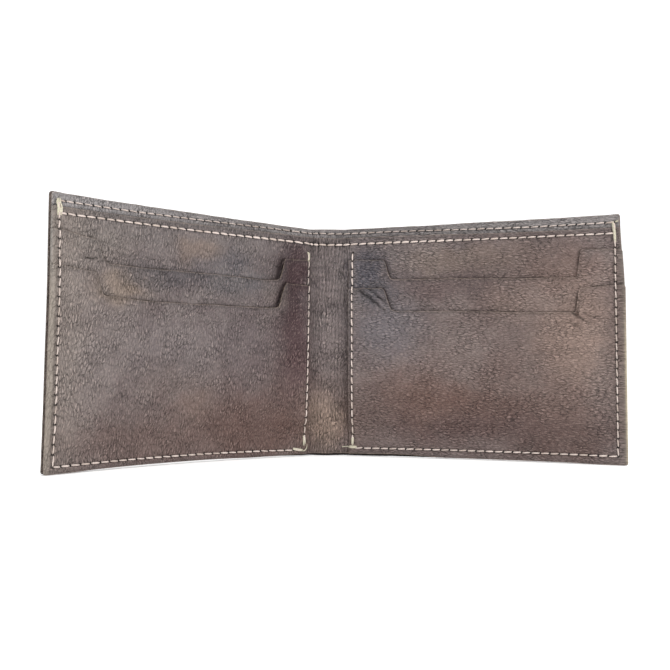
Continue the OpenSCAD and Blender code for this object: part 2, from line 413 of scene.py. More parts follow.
def stitches(name, side, starts, ends, face, material, sign=1, width=0.54, height=0.25, lean=0.1, seed=3):
    """Threads on the leather: one short bow from hole to hole for each start and end point (s, z).

    A bow is a ring of points carried from start to end, tapering at both. It dips into the leather at
    the holes and stands proud between them; lean slants it across its seam, and no two are quite alike.
    """
    rng = np.random.default_rng(seed)
    starts, ends = np.asarray(starts, float), np.asarray(ends, float)
    count = len(starts)
    along = np.array([0.0, 0.08, 0.22, 0.5, 0.78, 0.92, 1.0])
    rise = np.array([-0.45, -0.05, 0.13, 0.2, 0.13, -0.05, -0.45])
    thick = np.array([0.35, 0.66, 0.92, 1.05, 0.92, 0.66, 0.35])
    direction = ends - starts
    length = np.linalg.norm(direction, axis=1, keepdims=True)
    direction = direction / length
    across = np.stack([-direction[:, 1], direction[:, 0]], 1)
    slant = lean + 0.07 * rng.uniform(-1, 1, (count, 1))
    starts = starts - across * slant + direction * 0.16
    ends = ends + across * slant - direction * 0.16
    path = starts[:, None] + (ends - starts)[:, None] * along[None, :, None]
    ring = np.arange(RING) * 2 * math.pi / RING
    size = (1 + 0.14 * rng.uniform(-1, 1, (count, 1))) * thick[None]
    flat_part = 0.5 * width * size[..., None] * np.cos(ring)
    high_part = height * size[..., None] * np.sin(ring)
    s = path[..., 0:1] + across[:, None, 0:1] * flat_part
    z = path[..., 1:2] + across[:, None, 1:2] * flat_part
    base = face(path[..., 0], path[..., 1])
    straight = base[:, :1] + (base[:, -1:] - base[:, :1]) * along
    base = np.maximum(base, straight) if sign > 0 else base
    n = (base + sign * rise)[..., None] + sign * high_part
    points = place(side, s, n, z).reshape(-1, 3)
    ids = np.arange(points.shape[0]).reshape(count, len(along), RING)
    quads = skin(ids)
    caps_a, caps_b = ids[:, 0], ids[:, -1, ::-1]
    if side * sign > 0:
        quads, caps_a, caps_b = quads[:, ::-1], caps_a[:, ::-1], caps_b[:, ::-1]
    distance = np.broadcast_to((length * along)[..., None], s.shape)
    turn = np.broadcast_to(ring, s.shape)
    mark = np.broadcast_to(rng.uniform(0, 1, (count, 1, 1)), s.shape)
    lay = np.stack([distance, np.cos(turn), np.sin(turn)], -1).reshape(-1, 3)
    layers = {"lay": lay, "mark": mark.reshape(-1)}
    return build(name, points, quads, layers, material, caps_a.tolist() + caps_b.tolist())


# ---- shader expressions


def operators(operation):
    """The operator that adds one Math node to wires and numbers, and its reflected form."""
    def plain(self, other):
        return self.paint.math(operation, self, other)

    def reflected(self, other):
        return self.paint.math(operation, other, self)

    return plain, reflected


class Wire:
    """One output socket, in arithmetic with other wires and with numbers."""

    def __init__(self, paint, socket):
        self.paint, self.socket = paint, socket

    __add__, __radd__ = operators("ADD")
    __sub__, __rsub__ = operators("SUBTRACT")
    __mul__, __rmul__ = operators("MULTIPLY")
    __truediv__, __rtruediv__ = operators("DIVIDE")
    __pow__, __rpow__ = operators("POWER")


class Paint:
    """The node tree of one material."""

    def __init__(self, name):
        self.material = bpy.data.materials.new(name)
        self.material.use_nodes = True
        self.tree = self.material.node_tree
        self.tree.nodes.clear()

    def node(self, kind, settings, values, out=0):
        """Adds a node: its settings first, then numbers, colours or wires into its sockets."""
        made = self.tree.nodes.new("ShaderNode" + kind)
        for key, value in settings.items():
            setattr(made, key, value)
        for key, value in values.items():
            if isinstance(value, Wire):
                self.tree.links.new(value.socket, made.inputs[key])
            else:
                made.inputs[key].default_value = value
        return Wire(self, made.outputs[out])

    def math(self, operation, a, b=0.0, clamp=False):
        """One Math node."""
        return self.node("Math", dict(operation=operation, use_clamp=clamp), {0: a, 1: b})

    def clamp(self, value):
        """The value held between 0 and 1."""
        return self.math("ADD", value, 0.0, clamp=True)

    def most(self, values):
        """The greatest of several values."""
        result = values[0]
        for value in values[1:]:
            result = self.math("MAXIMUM", result, value)
        return result

    def layer(self, name, out):
        """A per-point layer of the mesh: out 1 is its vector, 2 its value."""
        return self.node("Attribute", dict(attribute_name=name), {}, out)

    def join(self, x, y, z):
        """A vector from three values."""
        return self.node("CombineXYZ", {}, {0: x, 1: y, 2: z})

    def split(self, vector):
        """The three values of a vector."""
        return [self.node("SeparateXYZ", {}, {0: vector}, k) for k in range(3)]

    def cloud(self, vector, size, detail=2.0, rough=0.5, warp=0.0):
        """Noise around 0.5 with blobs of the given size in the vector's units."""
        values = {"Vector": vector, "Scale": 1.0 / size, "Detail": detail, "Roughness": rough}
        return self.node("TexNoise", {}, dict(values, Distortion=warp))

    def cells(self, vector, size):
        """Distance to the nearest border between irregular cells of the given size."""
        settings = dict(feature="DISTANCE_TO_EDGE")
        return self.node("TexVoronoi", settings, {"Vector": vector, "Scale": 1.0 / size})

    def ramp(self, value, low, high):
        """0 below low, 1 above high, smooth between."""
        settings = dict(interpolation_type="SMOOTHSTEP")
        return self.node("MapRange", settings, {0: value, 1: low, 2: high, 3: 0.0, 4: 1.0})

    def mix(self, share, a, b):
        """Colour a, with the given share of colour b."""
        return self.node("Mix", dict(data_type="RGBA"), {0: share, 6: a, 7: b}, 2)

    def tint(self, colour, value):
        """A colour times a value."""
        return self.node("VectorMath", dict(operation="SCALE"), {0: colour, 3: value})

    def finish(self, inputs):
        """The material, with these values, colours and wires in its shader."""
        shader = self.node("BsdfPrincipled", {}, inputs)
        output = self.tree.nodes.new("ShaderNodeOutputMaterial")
        self.tree.links.new(shader.socket, output.inputs[0])
        return self.material


def rgb(red, green, blue):
    """A colour given in display values from 0 to 255, as linear light."""
    parts = [c / 255 for c in (red, green, blue)]
    return tuple(c / 12.92 if c <= 0.04045 else ((c + 0.055) / 1.055) ** 2.4 for c in parts) + (1.0,)


HOLE_LEAN = 0.25
HOLE_SIZE = (0.42, 0.52)  # half of a stitch hole's mark along its seam and across it
HOLE_REACH = 0.8  # how far past a seam's ends its marks may lie
WHOLE_TURNS = 100.5  # keeps the fraction of a pitch positive, with the half that centres it on a hole


def hole_marks(p, s, z, line):
    """Slanting slits at every stitch hole of one seam, as marks from 0 to 1: painted shade in the holes,
    and their dent in the bump.

    A mark is an ellipse around the nearest hole, and marks stop at the seam's ends.
    """
    along, across = seam_axes(line, s, z)
    pitch = line["pitch"]
    shifted = (along - line["start"] - across * HOLE_LEAN) / pitch
    nearest = (p.math("FRACT", shifted + WHOLE_TURNS) - 0.5) * pitch
    radius = (nearest / HOLE_SIZE[0]) ** 2.0 + (across / HOLE_SIZE[1]) ** 2.0
    inside = p.math("GREATER_THAN", along, line["start"] - HOLE_REACH)
    inside = inside * p.math("LESS_THAN", along, line["end"] + HOLE_REACH)
    return p.clamp(1.8 - radius * 1.3) * inside


# Grain of the leather: directions of its strokes in degrees, and how far they are drawn out
UPRIGHT, LEANING, LEVEL = (83.0, 2.9), (60.0, 2.2), (-6.0, 2.9)
STROKE = 0.5  # width of a stroke
PEBBLE = 0.84  # from one fine crease to the next
SWAY = 2.2
FINE, SPECK = 0.6, 0.36  # sizes of the fine mottling and of the specks
SPINE_EDGE = (9.0, 13.0)  # where the spine's grain gives way to that of the halves
# pale rub on the grain's ridges, which also paints their highlight
PALE_RUB_AND_HIGHLIGHT = (172, 153, 143)
CONTACT_SHADE = (44, 31, 31)
HOLE_SHADE = (30, 24, 23)


def drawn(p, s, z, depth, run, bend):
    """Coordinates squeezed along a direction: patterns made with them run out along it, and sway."""
    angle, draw = math.radians(run[0]), run[1]
    along = s * math.cos(angle) + z * math.sin(angle)
    across = z * math.cos(angle) - s * math.sin(angle)
    return p.join(along / draw, across + bend * SWAY, depth)


def leather(name, base, dark, stains, seams, late=(), edge=(152, 136, 122), tone=1.0):
    """Worn pull-up leather.

    The colour runs from base to dark in clouds, with soft stains and darker patches at chosen places. The
    grain is pale strokes and fine dark creases, mostly upright on the spine and the left half, nearly level
    on the right half; the strokes are partly painted highlight, the creases partly painted shade, and the
    relief is painted lighter where it stands up and darker in its folds. Borders are burnished with a pale
    worn rim that also paints a highlight along them, cut edges are raw, painted contact shade runs above
    the pockets' mouths, painted shade lies in slits at the given seams' stitch holes, and late patches
    cover all but those.
    Stains and patches are (s, z, half width, half height, colour, strength).
    """
    p = Paint(name)
    s, z = p.split(p.layer("flat", 1))[:2]
    sheet, cut, border, behind, relief = [
        p.layer(layer, 2) for layer in ("sheet", "edge", "border", "behind", "relief")]
    across_s = p.math("ABSOLUTE", s)
    depth = sheet * 11.0
    moved = p.join(s, z, depth)
    other = p.join(s + 57.0, z + 31.0, depth)
    warped_s = s + (p.cloud(moved, 13, 3.0) - 0.5) * 15.0
    warped_z = z + (p.cloud(other, 11, 3.0) - 0.5) * 13.0

    big = p.cloud(moved, 22, 4.0, 0.6, 0.6)
    middle = p.cloud(moved, 5.0, 4.0, 0.62, 0.3)
    fine = p.cloud(moved, FINE, 3.0, 0.65)
    speck = p.cloud(other, SPECK, 2.0, 0.6)
    colour = p.mix(p.ramp(big * 0.6 + middle * 0.4, 0.4, 0.6), rgb(*base), rgb(*dark))
    for at_s, at_z, half_s, half_z, stain, strength in stains:
        r = ((warped_s - at_s) / half_s) ** 2.0 + ((warped_z - at_z) / half_z) ** 2.0
        colour = p.mix(0.85 * strength / (1.0 + r * r), colour, rgb(*stain))

    # Grain, partly painted: highlights on its strokes, shade in its creases and folds
    bend = p.cloud(moved, 6.5, 2.0) - 0.5
    spine = 1.0 - p.ramp(across_s, *SPINE_EDGE)
    on_right = p.ramp(s, 0.0, 8.0) * (1.0 - spine)
    turned = p.ramp(p.cloud(other, 20, 2.0), 0.5, 0.58)
    runs = [drawn(p, s, z, depth, run, bend) for run in (UPRIGHT, LEANING, LEVEL)]
    upright, leaning, level = [p.cloud(run, STROKE, 1.5, 0.55) for run in runs]
    strokes = upright + (leaning - upright) * turned * (1.0 - on_right)
    strokes = strokes + (level - strokes) * on_right
    tall_cells, wide_cells = [p.cells(run, PEBBLE) for run in (runs[0], runs[2])]
    crease = 1.0 - p.ramp(tall_cells + (wide_cells - tall_cells) * on_right, 0.0, 0.12)
    ridge = p.ramp(strokes, 0.4, 0.58)
    open_grain = p.ramp(p.cloud(moved, 9, 3.0), 0.36, 0.62) * 0.6 + 0.45
    value = 0.96 + (fine - 0.5) * 0.5 + (speck - 0.5) * 0.35 + (middle - 0.5) * 0.22
    stroke_depth = 0.37 + on_right * 0.05 + spine * 0.24
    # the grain's pale strokes are partly painted highlight, its dark creases partly painted shade
    value = value + open_grain * ((ridge - 0.5) * stroke_depth - (crease - 0.35) * 0.5)
    # painted shade and highlight: the relief is painted darker in its folds and lighter where it stands up
    painted_fold_shade = p.ramp(0.0 - relief, 0.17, 0.5) * 0.5
    value = value * (1.0 + relief * (spine * 1.3 + 0.5)) * (1.0 - painted_fold_shade)
    # pale rub along the ridges, partly wear and partly a painted highlight
    rub_and_highlight = ridge * p.ramp(speck * 0.3 + strokes * 0.7, 0.5, 0.66)
    colour = p.mix(rub_and_highlight * 0.22, colour, rgb(*PALE_RUB_AND_HIGHLIGHT))
    colour = p.tint(colour, value * tone)

    # Borders, painted contact shade above the sheet in front, and cut edges
    burnish = p.ramp(border, 0.1, 0.5) * (1.0 - p.ramp(border, 0.5, 1.8)) * (1.0 - cut)
    colour = p.tint(colour, 1.0 - burnish * 0.22)
    # pale worn rim along the borders, partly wear and partly a painted highlight on the edges
    rim = (1.0 - p.ramp(border, 0.1, 0.6)) * (1.0 - cut) * p.ramp(middle, 0.34, 0.6)
    colour = p.mix(rim * 0.22, colour, rgb(*edge))
    # painted contact shade: darkening above the upper edge of the sheet in front, where shade falls
    above = p.math("GREATER_THAN", behind, -0.4)
    contact = (1.0 - p.ramp(behind, 0.0, 0.55)) * 0.46 + (1.0 - p.ramp(behind, 0.1, 1.5)) * 0.36
    close = p.most([p.ramp(p.cloud(other, 8, 2.0), 0.4, 0.6), 1.0 - p.ramp(across_s, 27.0, 32.0)])
    contact = contact * (0.3 + close * 0.7) * (0.5 + p.ramp(across_s, 19.0, 23.0) * 0.5)
    colour = p.mix(contact * above, colour, rgb(*CONTACT_SHADE))
    raw = p.mix(p.ramp(p.cloud(moved, 1.6, 3.0), 0.35, 0.65), rgb(*edge), rgb(*[c * 0.68 for c in edge]))
    colour = p.mix(cut * 0.92, colour, raw)
    for at_s, at_z, half_s, half_z, stain, strength in late:
        r = ((s - at_s) / half_s) ** 4.0 + ((z - at_z) / half_z) ** 4.0
        colour = p.mix(strength / (1.0 + r), colour, rgb(*stain))
    # painted shade in the stitch holes
    holes = p.most([hole_marks(p, across_s, z, line) for line in seams])
    colour = p.mix(holes * 0.85, colour, rgb(*HOLE_SHADE))

    bumps = fine * 0.5 + speck * 0.25 + ridge * open_grain * 0.6 - crease * open_grain * 0.7 - holes * 1.4
    normal = p.node("Bump", {}, {"Strength": 0.9, "Distance": 0.00052, "Height": bumps})
    rough = p.clamp(0.55 + (middle - 0.5) * 0.25 + crease * 0.15 + cut * 0.25 + (fine - 0.5) * 0.2)
    varying = {"Base Color": colour, "Roughness": rough, "Normal": normal}
    return p.finish({"Specular IOR Level": 0.34, **varying})


PLIES = 2.0
TWIST = 7.5  # turns of the plies, in radians for each millimetre of thread


def thread_finish(name, colour, dirt):
    """Waxed two-ply thread: strands wind round it with painted shade in the grooves between them, and some
    stitches are dirtier than others.
    """
    p = Paint(name)
    distance, cosine, sine = p.split(p.layer("lay", 1))
    mark = p.layer("mark", 2)
    turn = p.math("ARCTAN2", sine, cosine)
    wave = p.math("SINE", distance * TWIST + turn * PLIES)
    fibre = p.cloud(p.join(distance * 3.0 + mark * 90.0, cosine, sine), 0.4, 3.0, 0.7)
    groove = p.ramp(wave, -1.0, 0.2)
    soil = p.ramp(mark + fibre * 0.5, 0.6, 1.4)
    tone = p.mix(soil * 0.7, rgb(*colour), rgb(*dirt))
    # painted shade: darker in the grooves between the plies
    tone = p.tint(tone, 0.8 + groove * 0.16 + (fibre - 0.5) * 0.35)
    normal = p.node("Bump", {}, {"Strength": 0.6, "Distance": 0.00012, "Height": groove + fibre * 0.5})
    return p.finish({"Roughness": 0.62, "Specular IOR Level": 0.35, "Base Color": tone, "Normal": normal})


# ---- camera, floor and light


def make_camera():
    """A third of a metre in front of the wallet, a little below its middle, looking slightly up."""
    data = bpy.data.cameras.new("camera")
    data.sensor_width = 36.0
    data.lens = 42.94
    data.clip_start, data.clip_end = 0.01, 20.0
    camera = bpy.data.objects.new("camera", data)
    heading, tilt, roll = [math.radians(degrees) for degrees in (-0.79, 93.01, 0.18)]
    turn = Matrix.Rotation(heading, 4, "Z") @ Matrix.Rotation(tilt, 4, "X") @ Matrix.Rotation(roll, 4, "Z")
    camera.matrix_world = Matrix.Translation(Vector((-0.0010, -0.3359, 0.0326))) @ turn
    bpy.context.scene.collection.objects.link(camera)
    bpy.context.scene.camera = camera


def make_floor():
    """A white sweep: flat under the wallet, curving up behind it through a quarter circle."""
    wide, back, radius, front, tall, just_under = 2.4, 1.0, 0.6, -1.6, 1.6, 0.00005
    arc = np.linspace(0, math.pi / 2, 17)
    y = np.concatenate([[front], back + radius * np.sin(arc), [back + radius]])
    z = np.concatenate([[0.0], radius * (1 - np.cos(arc)), [tall]]) - just_under
    x = np.linspace(-wide, wide, 9)
    points = np.stack(np.broadcast_arrays(x[:, None], y[None], z[None]), -1).reshape(-1, 3)
    ids = np.arange(len(x) * len(y)).reshape(len(x), len(y))
    quads = np.stack([ids[:-1, :-1], ids[1:, :-1], ids[1:, 1:], ids[:-1, 1:]], -1).reshape(-1, 4)
    finish = {"Base Color": (0.93, 0.93, 0.93, 1.0), "Roughness": 0.9}
    glow = {"Emission Color": (1.0, 1.0, 1.0, 1.0), "Emission Strength": 0.35}
    material = Paint("white_sweep").finish(dict(finish, **glow))
    build("floor", points, quads, {}, material)


def area_light(name, place_at, target, size, power):
    """A square white light of the given size and power, aimed at a target."""
    data = bpy.data.lights.new(name, "AREA")
    data.shape, data.size, data.energy = "SQUARE", size, power
    lamp = bpy.data.objects.new(name, data)
    lamp.location = place_at
    aim = Vector(target) - Vector(place_at)
    lamp.rotation_euler = aim.to_track_quat("-Z", "Y").to_euler()
    bpy.context.scene.collection.objects.link(lamp)


def make_light():
    """A soft key from the upper right in front, a weak fill from the left, and light on the sweep."""
    area_light("key", (0.55, -0.75, 0.75), (0.0, 0.0, 0.05), 0.4, 9.5)
    area_light("fill", (-0.9, -0.7, 0.4), (0.0, 0.0, 0.05), 0.8, 2.5)
    area_light("overhead", (0.0, 0.3, 1.3), (0.0, 0.25, 0.0), 1.2, 9.0)
    world = bpy.data.worlds.new("studio")
    world.use_nodes = True
    background = world.node_tree.nodes["Background"]
    background.inputs[0].default_value = (1.0, 1.0, 1.0, 1.0)
    background.inputs[1].default_value = 0.34
    bpy.context.scene.world = world
    bpy.context.scene.view_settings.view_transform = "Standard"


# ---- finishes

# Stains and darker patches of the pockets and the divider; s is negative on the left half. The dark plum
# patches at s -17 to -20 make the left half darker beside its inner column.
STAINS = [
    (72, 38, 44, 36, (124, 105, 97), 0.5),
    (-55, 12, 70, 13, (117, 98, 91), 0.5),
    (-75, 88, 52, 9, (116, 110, 109), 0.7),
    (-20, 74, 7, 10, (66, 50, 54), 1.0),
    (-19, 56, 7, 13, (70, 52, 55), 0.95),
    (-27, 67, 5, 6, (134, 120, 112), 0.5),
    (-18, 34, 10, 14, (86, 62, 62), 0.8),
    (-46, 78, 9, 5, (84, 83, 90), 0.85),
    (-76, 69, 22, 4, (84, 80, 84), 0.85),
    (-40, 69, 14, 4, (94, 94, 98), 0.6),
    (-58, 81, 9, 4, (142, 122, 108), 0.6),
    (-93, 63, 9, 5, (146, 126, 106), 0.75),
    (-114, 60, 9, 70, (146, 135, 127), 0.7),
    (-100, 79, 12, 8, (136, 126, 118), 0.5),
    (-96, 50, 12, 20, (132, 122, 118), 0.4),
    (-34, 14, 34, 14, (98, 73, 67), 0.8),
    (-84, 8, 26, 7, (108, 86, 79), 0.5),
    (-70, 42, 20, 10, (122, 113, 113), 0.5),
    (-40, 45, 12, 10, (104, 94, 96), 0.5),
    (18, 76, 8, 8, (70, 71, 82), 1.0),
    (21, 67, 8, 4, (80, 80, 86), 0.8),
    (27, 52, 13, 12, (116, 112, 117), 0.8),
    (58, 79, 22, 5, (134, 117, 104), 0.6),
    (76, 63, 11, 7, (134, 113, 103), 0.6),
    (46, 68, 14, 5, (94, 76, 75), 0.65),
    (98, 74, 14, 8, (118, 94, 86), 0.7),
    (101, 48, 13, 22, (148, 124, 111), 0.75),
    (36, 33, 14, 8, (126, 104, 98), 0.6),
    (56, 18, 42, 11, (94, 69, 62), 0.95),
    (96, 8, 18, 6, (86, 64, 58), 0.8),
    (66, 62, 5, 9, (96, 78, 75), 0.45),
    (-1.5, 14, 8.5, 11, (164, 143, 127), 0.8),
    (0, 62, 8, 26, (132, 121, 119), 0.6),
    (62, 72, 13, 9, (96, 80, 78), 0.5),
    (86, 78, 14, 8, (104, 86, 80), 0.45),
    (96, 20, 14, 12, (108, 86, 79), 0.6),
    (-40, 33, 16, 8, (104, 90, 90), 0.45),
    (-18, 62, 4, 22, (60, 45, 49), 0.8),
    (-17, 75, 5, 8, (66, 44, 48), 0.8),
    (-17, 45, 5, 16, (84, 60, 62), 0.6),
    (-30, 10, 24, 8, (92, 66, 58), 0.5),
    (60, 12, 34, 6, (88, 70, 70), 0.5),
    (44, 26, 18, 6, (112, 84, 74), 0.5),
    (8, 74, 4, 14, (136, 126, 124), 0.5),
    (60, 71, 8, 5, (88, 73, 72), 0.5),
    (115, 38, 3.4, 42, (92, 75, 69), 0.35),
    (90, 42, 7, 9, (112, 92, 85), 0.5),
    (74, 34, 8, 7, (102, 82, 76), 0.5),
    (-100, 78, 8, 5, (140, 132, 127), 0.5),
    (46, 17, 6, 5, (126, 100, 91), 0.45),
    (-74, 30, 12, 6, (128, 114, 108), 0.4),
    (-60, 22, 8, 5, (128, 108, 98), 0.45),
]
COVER_STAINS = [
    (-60, 60, 40, 24, (92, 76, 72), 0.5),
    (70, 35, 34, 20, (124, 104, 96), 0.5),
    (-95, 20, 16, 20, (132, 114, 104), 0.45),
    (100, 80, 18, 14, (128, 112, 104), 0.45),
    (0, 50, 9, 60, (122, 106, 98), 0.5),
]

# a lighter patch on the lining towards the left half's outer top
LINING_PATCHES = [(-100, 92, 30, 14, (158, 154, 154), 0.7)]
DARK_EDGE = [(14, -0.3, 42, 1.8, (34, 30, 29), 0.95)]  # along the cover's lower edge, under the spine

# Worn borders outside the side seams, mostly pale
BORDERS = [
    (-117.2, 36, 0.85, 40, (160, 150, 139), 0.75),
    (-116.2, 36, 0.2, 38, (100, 91, 84), 0.7),
    (-117.6, 80, 0.5, 12, (148, 144, 140), 0.6),
    (117.8, 26, 0.5, 29, (188, 176, 153), 0.9),
    (117.4, 76, 0.5, 8, (118, 110, 104), 0.6),
]

inside_leather = leather(
    "inside_leather", (127, 117, 115), (105, 94, 94), STAINS,
    [DIVIDER_LINE, BOTTOM_LINE, SIDE_LINE, INNER_LINE], late=BORDERS, tone=0.94,
)
cover_leather = leather(
    "cover_leather", (118, 103, 98), (96, 82, 79), COVER_STAINS,
    [TOP_LINE, BOTTOM_LINE, SIDE_LINE], late=DARK_EDGE, edge=(112, 101, 92),
)
lining_leather = leather(
    "lining_leather", (144, 139, 138), (124, 119, 119), LINING_PATCHES, [TOP_LINE, SIDE_LINE], tone=1.04,
)
cream_thread = thread_finish("cream_thread", (226, 210, 201), (180, 162, 149))
tack_thread = thread_finish("tack_thread", (216, 209, 188), (172, 161, 134))


# ---- pieces


def attach(piece, side, slot, word, over_spine=False):
    """Lets a piece stand for the CAD nodes whose names start with word: bakes its place and hides them."""
    zone = np.array([HINGE - FOLD_ZONE, HINGE + FOLD_ZONE])
    start, end = place(side, zone, np.zeros(2), np.full(2, HEIGHT / 2))
    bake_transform(piece)
    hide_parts(word + SIDES[side], *([word + "spine"] if over_spine else []))


# Single creases: half, sheet, from (s, z), to (s, z), depth, width
CREASES = [
    (RIGHT, 5, (14.6, 69.0), (25.0, 61.0), 0.62, 0.7),
    (RIGHT, 5, (18.2, 69.4), (27.0, 62.6), 0.56, 0.6),
    (RIGHT, 5, (21.5, 62.5), (28.0, 58.8), 0.3, 0.5),
    (RIGHT, 5, (98.6, 58.0), (107.5, 52.4), 0.5, 0.5),
    (RIGHT, 5, (103.0, 57.6), (110.5, 54.6), 0.36, 0.5),
    (RIGHT, 5, (97.0, 55.5), (104.5, 49.5), 0.26, 0.6),
    (LEFT, 4, (110.5, 72.6), (99.0, 73.4), 0.36, 0.45),
    (LEFT, 4, (106.0, 73.8), (98.0, 71.2), 0.34, 0.45),
    (LEFT, 5, (107.0, 60.0), (96.0, 61.5), 0.32, 0.5),
    (LEFT, 5, (104.0, 56.0), (94.0, 59.5), 0.28, 0.5),
    (LEFT, 5, (30.0, 58.0), (21.0, 53.0), 0.26, 0.6),
    (LEFT, 5, (64.0, 13.0), (52.0, 25.0), 0.2, 0.6),
]


def wrinkles(side, sheet):
    """Relief of a front face: soft puckers, less shallow folds along a noise's zero lines, and creases.

    Each chosen crease is a trough across its line with a swell beside it, fading out at both ends.
    """
    def relief(s, z):
        x = side * s
        y = z + 40 * sheet
        folds = 1 - np.abs(noise(x + 0.4 * z, y, 9, 2.4, 33))
        shallow = 0.14 * smooth((folds - 0.82) / 0.18) * smooth(noise(x, y, 18, 18, 34) + 0.6)
        height = uneven(x, y, SOFT_PUCKERS) - shallow
        for half, on_sheet, start, end, deep, wide in CREASES:
            if half == side and on_sheet == sheet:
                run = np.array(end) - np.array(start)
                length = math.hypot(*run)
                along = ((s - start[0]) * run[0] + (z - start[1]) * run[1]) / length
                across = ((z - start[1]) * run[0] - (s - start[0]) * run[1]) / length
                across = across + 0.5 * noise(s, z, 2.5, 2.5, 35)
                fade = smooth(along / 1.5) * smooth((length - along) / 2.5)
                swell = 0.6 * bump(across, 1.6 * wide, wide)
                height = height + deep * fade * (swell - bump(across, 0, wide))
        return height
    return relief


def seam_dent(s, z, lines):
    """How far pulled thread presses the leather in along its seams, most around each hole."""
    dent = np.zeros_like(s)
    for line in lines:
        along, across = seam_axes(line, s, z)
        holes = 0.75 + 0.25 * np.cos(2 * math.pi * (along - line["start"]) / line["pitch"])
        ends = smooth(along - line["start"] + 1) * smooth(line["end"] - along + 1)
        dent = np.maximum(dent, bump(across, 0.0, 1.0) * ends * holes)
    return -SEAM_DENT * dent


def spine_ridges(side, s, z):
    """Upright wrinkles in the spine's leather: a wavy, broken ripple that fades out under the pockets."""
    x = side * s
    ripple = np.cos(2 * math.pi * (x + uneven(x, z, SPINE_SWAY)) / SPINE_RIPPLE)
    strength = 0.62 + 0.38 * noise(x, z, 2.6, 7, 42)
    return (0.15 * strength * ripple - 0.08 * np.abs(ripple)) * smooth((12.6 - s) / 2.4)


def cut_edge(value, sign, seed, end=HALF):
    """A nearly straight cut edge, rounded off at the outer corner."""
    def edge(s):
        wobble = uneven(s, s * 0, [(0.18, 21, 10, seed), (0.07, 4, 10, seed + 1)])
        return value - sign * (np.abs(wobble) * smooth(s / 4) + corner_drop(s, end))
    return edge


def raised(side, edge, lift):
    """An edge cut higher across the spine, so that the cover shows below it."""
    reach = 26 if side == LEFT else 52
    return lambda s: edge(s) + lift * smooth((reach - s) / 18)


def level(n):
    """A flat face, n from the fold lines."""
    return lambda s, z: np.full_like(s, n)


def make_cover(side):
    """The outer hide; its outer face is creased at the fold, puckered, and pressed in at the seams."""
    columns = steps((0.0, 13.0, 0.5), (13.0, HALF - 4, 1.0), (HALF - 4, HALF, 0.3))

    def outer_face(s, z):
        x = side * s
        creases = 0.2 * (1 - np.abs(noise(x + 0.7 * noise(x, z, 6, 9, 53), z, 1.3, 8, 51)) * 1.6)
        creases = creases * np.maximum(bump(s, HINGE, 4.0), 0.35 * smooth((9 - s) / 3))
        dents = seam_dent(s, z, [TOP_LINE, BOTTOM_LINE, SIDE_LINE])
        return -COVER_FACE - creases - uneven(x, z, COVER_PUCKERS) - dents

    hide("cover_", side, columns, np.linspace(0, 1, 100), cut_edge(0.0, -1, 61), cut_edge(HEIGHT, 1, 62),
         level(COVER_FACE - AIR), outer_face, cover_leather, over_spine=True)


def make_lining(side):
    """The cover's lining, wrinkled upright and pressed in at its seams."""
    end = HALF - 0.3
    columns = steps((0.0, 13.0, 0.5), (13.0, HALF - 4, 0.9), (HALF - 4, end, 0.3))
    rows = steps((0.0, 0.84, 0.84 / 23), (0.84, 1.0, 0.16 / 35))

    def relief(s, z):
        return uneven(side * s, z, LINING_WRINKLES) + seam_dent(s, z, [TOP_LINE, SIDE_LINE])

    hide("lining_", side, columns, rows, raised(side, cut_edge(0.3, -1, 63, end), 0.9),
         cut_edge(HEIGHT - 0.25, 1, 64, end), level(LINING_FACE), level(COVER_FACE + AIR),
         lining_leather, relief, over_spine=True, sheet=1, behind=lambda s: np.full_like(s, DIVIDER_TOP))


def make_divider_lining(side):
    """The divider's lining, smooth: it follows the gap behind the divider."""
    end = HALF - 0.6
    columns = steps((0.0, 13.0, 0.8), (13.0, end, 2.0))

    def face(s, z):
        return LINING_FACE + divider_gap(side, s, z) + LINING_T - AIR

    hide("divider_lining_", side, columns, np.linspace(0, 1, 48),
         raised(side, cut_edge(0.4, -1, 65, end), 0.9), cut_edge(DIVIDER_TOP - 0.3, 1, 66, end),
         face, lambda s, z: face(s, z) - LINING_T + 2 * AIR, lining_leather, over_spine=True, sheet=2)


def make_divider(side):
    """The divider, ridged upright on the spine, wrinkled, and pressed in at its seams."""
    end = HALF - 0.1
    columns = steps((0.0, 13.5, 0.28), (13.5, HALF - 3, 0.85), (HALF - 3, end, 0.3))
    ripple = wrinkles(side, 0)

    def relief(s, z):
        seams = seam_dent(s, z, [DIVIDER_LINE, SIDE_LINE, INNER_LINE])
        return ripple(s, z) + spine_ridges(side, s, z) + seams

    hide("divider_", side, columns, np.linspace(0, 1, 120),
         raised(side, cut_edge(0.15, -1, 67, end), 0.85), cut_edge(DIVIDER_TOP, 1, 68, end),
         lambda s, z: divider_front(side, s, z), lambda s, z: divider_front(side, s, z) - DIVIDER_T,
         inside_leather, relief, over_spine=True, sheet=3, gaping=UPPER_POCKET[side],
         behind=lambda s: np.where(s > POCKET_EDGE, mouth_edge(UPPER_POCKET[side], s), -FAR))


